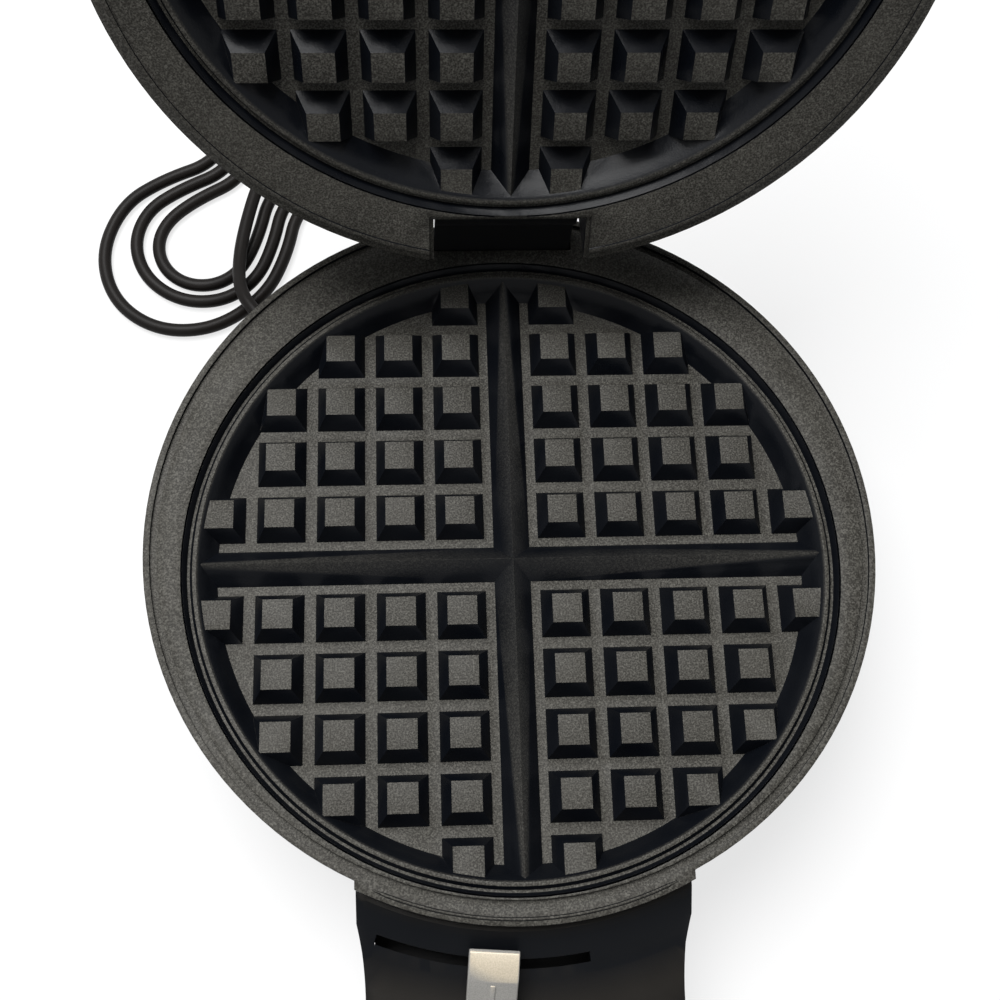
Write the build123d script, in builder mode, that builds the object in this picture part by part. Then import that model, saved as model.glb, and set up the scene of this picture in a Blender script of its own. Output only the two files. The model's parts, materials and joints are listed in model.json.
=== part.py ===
from build123d import *
from math import atan, cos, degrees, dist, pi, radians, sin, tan
import os

# Round waffle maker, resting open with its lid leaning back on its stop.
# Millimetres. +X is to the right, +Y is towards the hinge, +Z is up.
# Both halves are made from the mating plane inwards, so the lid is the base turned over.

# Frame
body_y = -23.6           # axis of the round base, so that the open cooker is centred over the origin
mating_z = 52.5          # height of the lower plate's rim
plate_gap = 0.9          # between the two rims when the lid is shut
lid_open = 112.3         # angle of the open lid from shut

# Waffle plates
pitch = 16.5             # from one waffle pocket to the next
pyramid_top = 8.0
pyramid_foot = 13.4
first_column = 14.19     # from the middle ridge to the first column of pyramids
columns = [5, 4, 4, 3, 1]  # pyramids in each row of a quarter, from the middle ridge outwards
ridge_foot = 10.0
pattern_depth = 2.5      # from the mating plane down to the tops of the pyramids
floor_depth = 8.5        # from the mating plane down to the floor of the cavity
floor_thickness = 3.0
cavity_r = 84.8          # cavity edge
cavity_floor_r = 80.8
lip_r = 87.4             # outside of the raised lip round the cavity
channel_r = 89.0         # outside of the shallow channel round the lip
lip_depth = 1.5
channel_depth = 2.7
dish_foot_r = 84.0
dish_top_r = 88.0
rim_r = 99.7             # outside of the plate
rim_shift = 6.0          # the rim's centre lies this far behind the cavity's
rim_thickness = 3.0
seal_r = 97.0            # middle of the groove in the lower rim and of the bead on the upper one
groove_width = 2.0
groove_depth = 1.2
bead_width = 1.3
bead_height = 0.5
tab_width = 86.0
tab_r = 96.3             # front edge of the tab over the control panel
boss_r = 70.0            # circle of the screw bosses under each plate
boss_radius = 4.8
boss_height = 8.0
screw_angles = [45, 135, 225, 315]
screw_r = 1.9
screw_head_r = 3.6
screw_head_height = 2.4
screw_bite = 7.0         # how far a screw enters its boss

# Heating elements and reflectors
element_r = 52.0
element_tube_r = 3.25
element_sink = 1.75      # how far the tube lies in the plate's underside
element_arc = 320.0
element_leg = 7.0
pin_r = 1.5
pin_length = 9.0
reflector_r = 78.0
reflector_thickness = 0.8
reflector_wall = 5.0
reflector_corner = 3.0
reflector_eye = 11.0     # hole round the thermostat

# Casings
wall = 2.6
shell_r = 99.2           # outside of each casing where it meets its plate
base_waist_r = 96.6
base_foot_r = 90.0
base_waist_depth = 24.0
base_edge = 4.0          # upright edge under the plate
heel_height = 12.0
heel_taper = 2.2
foot_round = 2.5
ledge_reach = 3.0
ledge_height = 2.0
base_height = 47.5       # from the mating plane down to the casing's lower edge
cover_thickness = 2.5
cover_r = 84.5
cover_fit = 0.25
post_r = 5.6
lid_height = 37.0        # from the mating plane to the casing's shoulder
lid_side_r = 97.6
lid_shoulder = 9.0
lid_crown = 3.0
skin_r = 82.0
skin_seat = 0.6          # how far the skin's edge stands above the casing's shoulder
skin_thickness = 0.5

# Feet
foot_r = 7.5
foot_circle = 76.0       # circle of the feet round the rim's centre
foot_angles = [62, 118, 242, 298]
foot_plug_r = 3.5
foot_plug_height = 1.6
foot_plug_fit = 0.1
head_sink = 4.4          # depth of the recess that hides each screw's head in the bottom cover
screw_room = 0.6         # round each screw head
screw_hole_fit = 0.3
vent_rows = 2            # rows of slots on each side of the middle one
vent_pitch = 9.0
vent_length = 44.0
vent_step = 4.0
vent_width = 3.0

# Hinge
hinge_y = 98.3           # hinge axis behind the cavity's centre
hinge_rise = 24.1        # hinge axis above the mating plane
hinge_pin_r = 3.0
hinge_pin_length = 66.0
knuckle_r = 9.0
knuckle_width = 39.4
knuckle_gap = 0.8
slot_reach = 30.0        # of the slot in the lid's back, past the casing
hinge_side_gap = 0.5
post_front = 4.3         # front face of the hinge post, ahead of the axis
post_back = 4.1
post_foot_depth = 30.0
stop_gap = 0.3
ear_width = 15.0
bush_r = 5.0
bush_length = 12.0
running_fit = 0.05
dish_gap = 0.4           # room round the upper plate's dish inside the lid
notch_edge = 1.2         # width of the sunk step round the notch in the upper plate
notch_front = 90.6
notch_step = 0.8

# Control panel and lower handle
panel_width = 86.0
panel_waist = 82.0
panel_front = 143.0      # front of the handle ahead of the cavity's centre
panel_back_r = 97.3
panel_edge_r = 109.2
panel_top = 46.0
panel_edge_z = 37.5
panel_front_z = 31.0
panel_bottom = 15.0
panel_wall = 2.6
panel_cover = 2.4
panel_bow = 0.8          # how far the slider's face bows out
grip_corner = 8.0
grip_root_r = 70.0       # where the plan of each handle starts, inside the casing
grip_cheek_r = 94.0      # end of the straight cheeks
grip_waist_r = 116.0
grip_bow = 10.0          # how far the front edge bows out
slot_r = 105.0
slot_width = 2.4
slot_from = -111.4
slot_to = -81.0
knob_angle = -94.6
knob_turn_left = 15.6
knob_turn_right = 12.4
knob_width = 12.8
lamp_r = 2.6
lamp_reach = 124.0
lamp_places = [21.0, 31.0]
lamp_height = 6.4
knob_back_r = 101.8
knob_brow_r = 109.8
knob_front_r = 119.0
knob_top = 48.0
knob_gap = 0.7           # between the knob and the panel under it
stem_top = 44.4

# Slider arm and thermostat
arm_z = 25.0
arm_thickness = 1.6
arm_width = 5.0
arm_hub_r = 8.0
stem_width = 1.6
stem_length = 4.0
spindle_r = 2.5
thermostat_r = 9.0
bracket_thickness = 1.0
bracket_length = 50.0
bracket_width = 10.0
bracket_foot = 4.0

window_room = 2.4        # above and below the arm where it leaves the casing
window_middle = -10.0
window_width = 64.0
window_depth = 44.0      # reaches through the curved wall at both ends of the window

# Lid handle
handle_width = 84.0
handle_depth = 9.0       # from the mating plane to the handle's underside
handle_thickness = 15.0
handle_waist = 80.0
lid_screw_depth = 34.8

# Terminal block
terminal_x = -34.0
terminal_y = 66.0
terminal_length = 26.0
terminal_width = 12.0
terminal_height = 9.0

# Cord
cord_d = 4.2
cord_exit_angle = 131.0
cord_exit_z = 14.0
relief_length = 20.0
relief_hole_r = 4.6
waist_x = -79.0          # waist of the loops, from the cavity's centre
waist_y = 147.0
bundle_angle = 54.4
far_u = 45.0             # middle of the loops' hidden ends, from the waist
far_r = 17.0
far_step = 5.5
waist_half = 5.6
waist_step = 5.6
near_loops = [           # middle, reach and spread of each loop's near end
    (-27.7, -0.4, 15.6, 15.6),
    (-28.3, -1.2, 21.3, 22.7),
    (-30.9, -2.3, 31.8, 29.6),
]
near_neck = (-14.6, 1.7)    # shoulder of each loop on its way to the near end, and its bulge
back_neck = (-15.7, 2.4)    # shoulder on its way back
far_neck = (15.1, 1.3)      # shoulder before and after the far end, and how far it draws in
lead_straight = 6.5         # straight run out of the strain relief
loop_apart = 30.0           # along the cord, past which two places count as separate
plug_neck = 9.0
plug_length = 30.0
plug_width = 21.0
plug_thickness = 13.0
blade_width = 6.3
blade_thickness = 1.5
blade_length = 16.0
blade_spacing = 12.7

os.makedirs("parts", exist_ok=True)

hinge_z = mating_z + hinge_rise
floor_under = floor_depth + floor_thickness
element_depth = floor_under + element_tube_r - element_sink
boss_end = floor_under + boss_height
thermostat_height = boss_height + reflector_thickness
wall_slope = degrees(atan((cavity_r - cavity_floor_r) / (floor_depth - pattern_depth)))
pyramid_slope = degrees(atan((pyramid_foot - pyramid_top) / 2 / (floor_depth - pattern_depth)))

# Each half is a plane on its rim, with the cavity's centre as its origin, its y towards the
# hinge and its z out of the half. The lid's is turned over, and then opened about the hinge.
lower = Plane((0, body_y, mating_z), x_dir=(1, 0, 0), z_dir=(0, 0, 1))
opened = Plane((0, body_y + hinge_y, hinge_z)).rotated((-lid_open, 0, 0))
rim_seat = opened.from_local_coords(Vector(0, -hinge_y, plate_gap - hinge_rise))
upper = Plane(rim_seat, x_dir=-opened.x_dir, z_dir=-opened.z_dir)


def level(half, depth, shift=0.0):
    """The plane at a depth inside a half, centred shift mm towards the hinge."""
    return Plane(
        half.from_local_coords(Vector(0, shift, -depth)), x_dir=half.x_dir, z_dir=half.z_dir
    )


def section(half, shift=0.0):
    """The upright plane through a half's axis: x is the radius, y is the height from the rim."""
    centre = half.from_local_coords(Vector(0, shift, 0))
    return Plane(centre, x_dir=half.x_dir, z_dir=-half.y_dir)


def spun(half, angle):
    """A half's plane turned about its own axis."""
    a = radians(angle)
    return Plane(half.origin, x_dir=half.x_dir * cos(a) + half.y_dir * sin(a), z_dir=half.z_dir)


def side(half, x):
    """The upright plane across the hinge axis at x: its x is towards the hinge, its y is height."""
    centre = half.from_local_coords(Vector(x, 0, 0))
    return Plane(centre, x_dir=half.y_dir, z_dir=half.x_dir)


def upright(half, shift=0.0):
    """The axis square to a half's rim, shift mm towards the hinge."""
    return Axis(tuple(half.from_local_coords(Vector(0, shift, 0))), tuple(half.z_dir))


def turned(half, points, shift=0.0, mode=Mode.ADD):
    """A closed outline of radius and height points, revolved about a half's axis."""
    with BuildSketch(section(half, shift)) as outline:
        with BuildLine():
            Polyline(*points, close=True)
        make_face()
    return revolve(outline.sketch, axis=upright(half, shift), mode=mode)


def finish(part, name):
    part.label = name
    export_step(part, f"parts/{name}.step")


def quarter_places():
    """Centres of the pyramids in one quarter of the pattern."""
    places = []
    for row, count in enumerate(columns):
        for column in range(count):
            places.append((first_column + column * pitch, first_column + row * pitch))
    return places


def waffle_pattern(half):
    """Pyramids and the two crossing ridges, cut to the cavity's drafted wall."""
    height = floor_depth - pattern_depth
    places = []
    for x, y in quarter_places():
        places += [(x, y), (-x, y), (x, -y), (-x, -y)]
    with BuildSketch(level(half, floor_depth)) as feet:
        with Locations(*places):
            Rectangle(pyramid_foot, pyramid_foot)
    extrude(feet.sketch, amount=height, taper=pyramid_slope)
    for plane in (section(half), side(half, 0)):
        with BuildSketch(plane) as ridge:
            with BuildLine():
                Polyline(
                    (-ridge_foot / 2, -floor_depth),
                    (ridge_foot / 2, -floor_depth),
                    (0, -pattern_depth),
                    close=True,
                )
            make_face()
        extrude(ridge.sketch, amount=cavity_r, both=True)
    with BuildSketch(level(half, floor_depth)) as cavity:
        Circle(cavity_floor_r + floor_thickness / 3)
    extrude(cavity.sketch, amount=height, taper=-wall_slope, mode=Mode.INTERSECT)


def rim_plate(half):
    """The flat rim, whose circle lies further back than the cavity's."""
    with BuildSketch(level(half, rim_thickness)) as rim:
        with Locations((0, rim_shift)):
            Circle(rim_r)
        Circle(channel_r + 0.5, mode=Mode.SUBTRACT)
    extrude(rim.sketch, amount=rim_thickness)


def waffle_plate(half):
    """A cast plate: pattern, dished cavity, lip, channel, rim and the bosses under it."""
    waffle_pattern(half)
    dish = [
        (0, -floor_depth),
        (cavity_floor_r, -floor_depth),
        (cavity_r, -pattern_depth + 0.3),
        (cavity_r + 0.8, -lip_depth),
        (lip_r - 0.8, -lip_depth),
        (lip_r, -channel_depth),
        (channel_r - 0.9, -channel_depth),
        (channel_r, 0),
        (channel_r + 1, -rim_thickness),
        (dish_top_r, -rim_thickness),
        (dish_foot_r, -floor_under),
        (0, -floor_under),
    ]
    turned(half, dish)
    rim_plate(half)
    with BuildSketch(level(half, boss_end)) as bosses:
        with PolarLocations(boss_r, 4, start_angle=screw_angles[0]):
            Circle(boss_radius)
    extrude(bosses.sketch, amount=boss_height + 0.5)
    with BuildSketch(level(half, boss_end)) as holes:
        with PolarLocations(boss_r, 4, start_angle=screw_angles[0]):
            Circle(screw_r)
    extrude(holes.sketch, amount=screw_bite, mode=Mode.SUBTRACT)
    with BuildSketch(section(half)) as tube:
        with Locations((element_r, -element_depth)):
            Circle(element_tube_r)
    revolve(tube.sketch, axis=upright(half), mode=Mode.SUBTRACT)


# Lower waffle plate, with the sealing groove and the tab over the control panel
with BuildPart() as lower_grid_plate:
    waffle_plate(lower)
    with BuildSketch(level(lower, rim_thickness)):
        Circle(tab_r)
        Circle(channel_r + 1, mode=Mode.SUBTRACT)
        with Locations((0, -tab_r)):
            Rectangle(tab_width, tab_r, mode=Mode.INTERSECT)
    extrude(amount=rim_thickness)
    with BuildSketch(level(lower, 0, rim_shift)):
        Circle(seal_r + groove_width / 2)
        Circle(seal_r - groove_width / 2, mode=Mode.SUBTRACT)
    extrude(amount=-groove_depth, mode=Mode.SUBTRACT)
    notch_wide = knuckle_width + 2 * hinge_side_gap
    with BuildSketch(level(lower, rim_thickness)):
        with Locations((0, hinge_y)):
            Rectangle(notch_wide, 2 * (post_front + hinge_side_gap))
        with Locations((0, hinge_y + rim_r / 4)):
            Rectangle(notch_wide, rim_r / 2)
    extrude(amount=rim_thickness, mode=Mode.SUBTRACT)
finish(lower_grid_plate.part, "lower_grid_plate")

# Upper waffle plate, with the bead that nests in the groove and the stepped hinge notch
with BuildPart() as upper_grid_plate:
    waffle_plate(upper)
    with BuildSketch(level(upper, 0, rim_shift)):
        Circle(seal_r + bead_width / 2)
        Circle(seal_r - bead_width / 2, mode=Mode.SUBTRACT)
    extrude(amount=bead_height)
    frame_wide = notch_wide + 2 * notch_edge
    with BuildSketch(level(upper, notch_step)):
        with Locations((0, notch_front - notch_edge + rim_r / 4)):
            Rectangle(frame_wide, rim_r / 2)
    extrude(amount=notch_step + 2 * bead_height, mode=Mode.SUBTRACT)
    with BuildSketch(level(upper, rim_thickness)):
        with Locations((0, notch_front + rim_r / 4)):
            Rectangle(notch_wide, rim_r / 2)
    extrude(amount=2 * rim_thickness, mode=Mode.SUBTRACT)
finish(upper_grid_plate.part, "upper_grid_plate")


def ring_heater(half, name):
    """A tubular heater lying in the plate's underside, with two legs that end in pins."""
    half_gap = (360 - element_arc) / 2
    ends = []
    for angle in (90 - half_gap, 90 + half_gap):
        ends.append((element_r * cos(radians(angle)), element_r * sin(radians(angle))))
    with BuildPart() as heater:
        with BuildSketch(section(spun(half, 90 + half_gap))):
            with Locations((element_r, -element_depth)):
                Circle(element_tube_r)
        revolve(axis=upright(half), revolution_arc=element_arc)
        with BuildSketch(level(half, element_depth + element_leg)):
            with Locations(*ends):
                Circle(element_tube_r - 0.25)
        extrude(amount=element_leg + element_depth - floor_under)
        with BuildSketch(level(half, element_depth + element_leg + pin_length)):
            with Locations(*ends):
                Circle(pin_r)
        extrude(amount=pin_length)
    finish(heater.part, name)


ring_heater(lower, "lower_heating_element")
ring_heater(upper, "upper_heating_element")


def reflector(half, name):
    """A shallow pan of bright sheet behind the element, clamped on the plate's bosses."""
    depth = boss_end
    with BuildPart() as pan:
        outer_r = reflector_r + reflector_thickness
        lean = reflector_corner - reflector_thickness / 2
        outline = [
            (reflector_eye, -depth),
            (reflector_r - reflector_corner, -depth),
            (reflector_r, -depth + reflector_corner),
            (reflector_r, -depth + reflector_wall),
            (outer_r, -depth + reflector_wall),
            (outer_r, -depth + lean),
            (reflector_r - lean, -depth - reflector_thickness),
            (reflector_eye, -depth - reflector_thickness),
        ]
        turned(half, outline)
        with BuildSketch(level(half, depth + reflector_thickness)):
            with PolarLocations(boss_r, 4, start_angle=screw_angles[0]):
                Circle(screw_r + screw_hole_fit)
            half_gap = radians((360 - element_arc) / 2)
            with Locations(
                (element_r * sin(half_gap), element_r * cos(half_gap)),
                (-element_r * sin(half_gap), element_r * cos(half_gap)),
            ):
                Circle(element_tube_r + 1)
        extrude(amount=2 * reflector_thickness, mode=Mode.SUBTRACT)
    finish(pan.part, name)


reflector(lower, "lower_reflector")
reflector(upper, "upper_reflector")

post_top = boss_end + reflector_thickness


def base_outline(inset):
    """Outside of the base casing, or its inside when inset by the wall."""
    top = 0 if inset else -rim_thickness
    return [
        (0, top),
        (shell_r - inset, top),
        (shell_r - inset, -rim_thickness - base_edge),
        (base_waist_r - inset, -base_waist_depth),
        (base_waist_r - heel_taper - inset, -base_waist_depth - heel_height),
        (base_foot_r - inset, -base_height + foot_round),
        (base_foot_r - foot_round - inset, -base_height),
        (0, -base_height),
    ]


cord_angle = radians(cord_exit_angle)
cord_wall_r = base_waist_r - 3.0
cord_dir = Vector(cos(cord_angle), sin(cord_angle), 0)
cord_wall = Vector(0, body_y + rim_shift, cord_exit_z) + cord_dir * cord_wall_r
relief_plane = Plane(cord_wall, x_dir=(-cord_dir.Y, cord_dir.X, 0), z_dir=cord_dir)

# Base casing: a bowl that carries the lower plate on its edge
with BuildPart() as base_housing:
    turned(lower, base_outline(0), rim_shift)
    with BuildSketch(section(lower, rim_shift)):
        with BuildLine():
            Polyline(*base_outline(wall), close=True)
        make_face()
    casing_axis = Axis((0, body_y + rim_shift, 0), (0, 0, 1))
    revolve(axis=casing_axis, mode=Mode.SUBTRACT)
    ledge_foot = -base_height + cover_thickness
    ledge = [
        (cover_r - ledge_reach, ledge_foot + ledge_height),
        (base_foot_r - 1, ledge_foot + ledge_height),
        (base_foot_r - 1, ledge_foot),
        (cover_r - ledge_reach, ledge_foot),
    ]
    turned(lower, ledge, rim_shift)
    skirt = [
        (cover_r, ledge_foot),
        (base_foot_r - foot_round - 0.4, ledge_foot),
        (base_foot_r - foot_round - 0.4, -base_height),
        (cover_r, -base_height),
    ]
    turned(lower, skirt, rim_shift)
    with BuildSketch(Plane((0, body_y, arm_z - window_room))):
        with Locations((window_middle, -shell_r + rim_shift)):
            Rectangle(window_width, window_depth)
    extrude(amount=arm_thickness + 2 * window_room, mode=Mode.SUBTRACT)
    with BuildSketch(relief_plane.offset(-6)):
        Circle(relief_hole_r)
    extrude(amount=12, mode=Mode.SUBTRACT)
finish(base_housing.part, "base_housing")


def foot_places():
    places = []
    for angle in foot_angles:
        a = radians(angle)
        places.append((foot_circle * cos(a), rim_shift + foot_circle * sin(a)))
    return places


# Bottom cover, whose posts clamp the reflector and the plate through the casing
with BuildPart() as base_cover:
    cover_level = level(lower, base_height)
    with BuildSketch(cover_level):
        with Locations((0, rim_shift)):
            Circle(cover_r - cover_fit)
    extrude(amount=cover_thickness)
    with BuildSketch(cover_level):
        with PolarLocations(boss_r, 4, start_angle=screw_angles[0]):
            Circle(post_r)
    extrude(amount=base_height - post_top)
    with BuildSketch(cover_level):
        with PolarLocations(boss_r, 4, start_angle=screw_angles[0]):
            Circle(screw_head_r + screw_room)
    extrude(amount=head_sink, mode=Mode.SUBTRACT)
    with BuildSketch(cover_level):
        with PolarLocations(boss_r, 4, start_angle=screw_angles[0]):
            Circle(screw_r + screw_hole_fit)
    extrude(amount=base_height - post_top, mode=Mode.SUBTRACT)
    with BuildSketch(cover_level):
        for row in range(-vent_rows, vent_rows + 1):
            with Locations((0, row * vent_pitch)):
                SlotOverall(vent_length - vent_step * abs(row), vent_width)
    extrude(amount=cover_thickness, mode=Mode.SUBTRACT)
    with BuildSketch(cover_level):
        with Locations(*foot_places()):
            Circle(foot_plug_r + foot_plug_fit)
    extrude(amount=foot_plug_height, mode=Mode.SUBTRACT)
finish(base_cover.part, "base_cover")

# Rubber feet, each with a plug in a blind hole of the bottom cover
with BuildPart() as rubber_feet:
    with BuildSketch(Plane((0, body_y, 0))):
        with Locations(*foot_places()):
            Circle(foot_r)
    extrude(amount=mating_z - base_height)
    chamfer(rubber_feet.edges().group_by(Axis.Z)[0], 1.0)
    with BuildSketch(Plane((0, body_y, mating_z - base_height))):
        with Locations(*foot_places()):
            Circle(foot_plug_r)
    extrude(amount=foot_plug_height)
finish(rubber_feet.part, "rubber_feet")


def long_screws(half, head_depth, name):
    """Four screws from the casing's outside through the posts into the plate's bosses."""
    with BuildPart() as screws:
        with BuildSketch(level(half, head_depth)):
            with PolarLocations(boss_r, 4, start_angle=screw_angles[0]):
                Circle(screw_r)
        extrude(amount=head_depth - boss_end + screw_bite)
        with BuildSketch(level(half, head_depth)):
            with PolarLocations(boss_r, 4, start_angle=screw_angles[0]):
                Circle(screw_head_r)
        extrude(amount=-screw_head_height)
        with BuildSketch(level(half, head_depth + screw_head_height)):
            with PolarLocations(boss_r, 4, start_angle=screw_angles[0]):
                Rectangle(4.2, 1.0)
                Rectangle(1.0, 4.2)
        extrude(amount=1.2, mode=Mode.SUBTRACT)
    finish(screws.part, name)


base_screw_depth = base_height - head_sink
long_screws(lower, base_screw_depth, "base_screws")

# Thermostat under the middle of the lower plate, held by a sprung bracket
with BuildPart() as thermostat:
    with BuildSketch(level(lower, floor_under + thermostat_height)):
        Circle(thermostat_r)
    extrude(amount=thermostat_height)
    chamfer(thermostat.edges().group_by(Axis.Z)[0], 1.0)
    with BuildSketch(Plane((0, body_y, arm_z - 1))):
        Circle(spindle_r)
    extrude(amount=mating_z - floor_under - thermostat_height - arm_z + 1.5)
finish(thermostat.part, "thermostat")

# Bracket that presses the thermostat against the plate
with BuildPart() as thermostat_bracket:
    bracket_depth = floor_under + thermostat_height
    with BuildSketch(level(lower, bracket_depth)):
        Rectangle(bracket_length, bracket_width)
        Circle(spindle_r + 0.5, mode=Mode.SUBTRACT)
    extrude(amount=-bracket_thickness)
    bracket_end = (bracket_length - bracket_thickness) / 2
    with BuildSketch(level(lower, bracket_depth + bracket_foot)):
        with Locations((-bracket_end, 0), (bracket_end, 0)):
            Rectangle(bracket_thickness, bracket_width)
    extrude(amount=bracket_foot)
finish(thermostat_bracket.part, "thermostat_bracket")


def hinge_side(points_x):
    return Plane((points_x, body_y + hinge_y, hinge_z), x_dir=(0, 1, 0), z_dir=(1, 0, 0))


# Hinge post, standing on the back of the base, with its knuckle round the hinge pin
with BuildPart() as hinge_post:
    with BuildSketch(hinge_side(-knuckle_width / 2)):
        Circle(knuckle_r)
        with BuildLine():
            Polyline(
                (-post_front, 0),
                (post_back, 0),
                (post_back, -hinge_rise - post_foot_depth),
                (-post_front, -hinge_rise - post_foot_depth),
                close=True,
            )
        make_face()
        Circle(hinge_pin_r, mode=Mode.SUBTRACT)
    extrude(amount=knuckle_width)
    casing_inside = [
        (shell_r - wall, -rim_thickness),
        (shell_r - wall, -rim_thickness - base_edge),
        (base_waist_r - wall, -base_waist_depth),
        (base_waist_r - heel_taper - wall, -base_waist_depth - heel_height),
        (shell_r + wall, -base_waist_depth - heel_height),
        (shell_r + wall, -rim_thickness),
    ]
    turned(lower, casing_inside, rim_shift, mode=Mode.SUBTRACT)
finish(hinge_post.part, "hinge_post")

# Hinge pin, a press fit in the post, on which the lid's bushes run
with BuildPart() as hinge_pin:
    with BuildSketch(hinge_side(-hinge_pin_length / 2)):
        Circle(hinge_pin_r)
    extrude(amount=hinge_pin_length)
    chamfer(hinge_pin.edges().filter_by(GeomType.CIRCLE), 0.5)
finish(hinge_pin.part, "hinge_pin")

# Hinge bushes, pressed into the lid's ears
bush_in = knuckle_width / 2 + hinge_side_gap
with BuildPart() as hinge_bushes:
    for sign in (-1, 1):
        with BuildSketch(hinge_side(sign * bush_in)):
            Circle(bush_r)
            Circle(hinge_pin_r + running_fit, mode=Mode.SUBTRACT)
        extrude(amount=sign * bush_length)
finish(hinge_bushes.part, "hinge_bushes")


def lid_outline(inset):
    """Outside of the lid casing, or its inside when inset by the wall."""
    top = 0 if inset else -rim_thickness
    shoulder = lid_height - lid_shoulder
    points = [(0, top), (shell_r - inset, top), (shell_r - inset, -rim_thickness - 3)]
    for step in range(0, 91, 18):
        angle = radians(step)
        radius = lid_side_r - lid_shoulder + (lid_shoulder - inset) * cos(angle)
        points.append((radius, -shoulder - (lid_shoulder - inset) * sin(angle)))
    points.append((skin_r, -lid_height - skin_seat + inset))
    points.append((skin_r * 0.6, -lid_height - skin_seat - lid_crown * 0.7 + inset))
    points.append((0, -lid_height - skin_seat - lid_crown + inset))
    return points


upper_side = side(upper, 0)
hinge_in_lid = (hinge_y, -(hinge_rise - plate_gap))

# Blocks at the back of the lid casing, which the hinge slot and the bush holes go through
with BuildPart() as lid_ears:
    ear_from = hinge_y - knuckle_r - knuckle_gap - wall
    with BuildSketch(level(upper, rim_thickness)):
        with Locations((0, ear_from + rim_r / 5)):
            Rectangle(notch_wide + 2 * ear_width, 2 * rim_r / 5)
    extrude(amount=-lid_height)
    turned(upper, lid_outline(0), rim_shift, mode=Mode.INTERSECT)

# Lid casing, with ears for the bushes on both sides of the slot that takes the hinge post
with BuildPart() as lid_housing:
    turned(upper, lid_outline(0), rim_shift)
    with BuildSketch(section(upper, rim_shift)):
        with BuildLine():
            Polyline(*lid_outline(wall), close=True)
        make_face()
    revolve(axis=upright(upper, rim_shift), mode=Mode.SUBTRACT)
    add(lid_ears.part)
    dish_room = [
        (0, 0),
        (dish_top_r + dish_gap, 0),
        (dish_top_r + dish_gap, -rim_thickness),
        (dish_foot_r + dish_gap, -floor_under - dish_gap),
        (0, -floor_under - dish_gap),
    ]
    turned(upper, dish_room, mode=Mode.SUBTRACT)
    with BuildSketch(level(upper, post_top)):
        with PolarLocations(boss_r, 4, start_angle=screw_angles[0]):
            Circle(post_r)
    extrude(amount=-(lid_height - post_top - 1))
    with BuildSketch(upper_side):
        with Locations(hinge_in_lid):
            Circle(knuckle_r + knuckle_gap)
        with Locations((hinge_in_lid[0] + slot_reach / 2 - knuckle_r - knuckle_gap, -hinge_rise / 2 + 2)):
            Rectangle(slot_reach, hinge_rise + 4)
    extrude(amount=notch_wide / 2, both=True, mode=Mode.SUBTRACT)
    stop_plane = Plane(
        upper.from_local_coords(Vector(0, hinge_y, -(hinge_rise - plate_gap))),
        x_dir=(0, 0, -1),
        z_dir=(1, 0, 0),
    )
    with BuildSketch(stop_plane):
        with Locations((20, (post_back + stop_gap - 15) / 2)):
            Rectangle(40, post_back + stop_gap + 15)
    extrude(amount=notch_wide / 2, both=True, mode=Mode.SUBTRACT)
    for sign in (-1, 1):
        with BuildSketch(hinge_side(sign * (bush_in - 0.1))):
            Circle(bush_r)
        extrude(amount=sign * (bush_length + 0.1), mode=Mode.SUBTRACT)
        with BuildSketch(hinge_side(sign * (bush_in - 0.1))):
            Circle(hinge_pin_r + 0.4)
        extrude(amount=sign * (hinge_pin_length / 2 - bush_in + 0.6), mode=Mode.SUBTRACT)
    with BuildSketch(level(upper, post_top)):
        with PolarLocations(boss_r, 4, start_angle=screw_angles[0]):
            Circle(screw_r + screw_hole_fit)
    extrude(amount=-(lid_height - post_top + lid_crown), mode=Mode.SUBTRACT)
    with BuildSketch(level(upper, lid_screw_depth)):
        with PolarLocations(boss_r, 4, start_angle=screw_angles[0]):
            Circle(screw_head_r + screw_room)
    extrude(amount=-(lid_height - lid_screw_depth + lid_crown), mode=Mode.SUBTRACT)
finish(lid_housing.part, "lid_housing")

# Brushed skin over the top of the lid, which hides the screws
with BuildPart() as lid_skin:
    skin = [
        (0, -lid_height - skin_seat - lid_crown),
        (skin_r * 0.6, -lid_height - skin_seat - lid_crown * 0.7),
        (skin_r, -lid_height - skin_seat),
        (skin_r, -lid_height - skin_seat - skin_thickness),
        (skin_r * 0.6, -lid_height - skin_seat - lid_crown * 0.7 - skin_thickness),
        (0, -lid_height - skin_seat - lid_crown - skin_thickness),
    ]
    turned(upper, skin, rim_shift)
finish(lid_skin.part, "lid_skin")

long_screws(upper, lid_screw_depth, "lid_screws")


def grip_plan(half, width, waist, inset):
    """Plan of a handle: straight cheeks at the casing, a waist, and a bowed front edge."""
    reach = panel_front - inset
    cheek = width / 2 - inset
    narrow = waist / 2 - inset
    with BuildSketch(half) as plan:
        with BuildLine():
            Line((-cheek, -grip_root_r), (cheek, -grip_root_r))
            Line((cheek, -grip_root_r), (cheek, -grip_cheek_r))
            ThreePointArc((cheek, -grip_cheek_r), (narrow, -grip_waist_r), (cheek, grip_bow - reach))
            ThreePointArc((cheek, grip_bow - reach), (0, -reach), (-cheek, grip_bow - reach))
            ThreePointArc(
                (-cheek, grip_bow - reach), (-narrow, -grip_waist_r), (-cheek, -grip_cheek_r)
            )
            Line((-cheek, -grip_cheek_r), (-cheek, -grip_root_r))
        make_face()
        fillet(plan.vertices().group_by(Axis.Y)[0], grip_corner - inset)
    return plan.sketch


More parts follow.
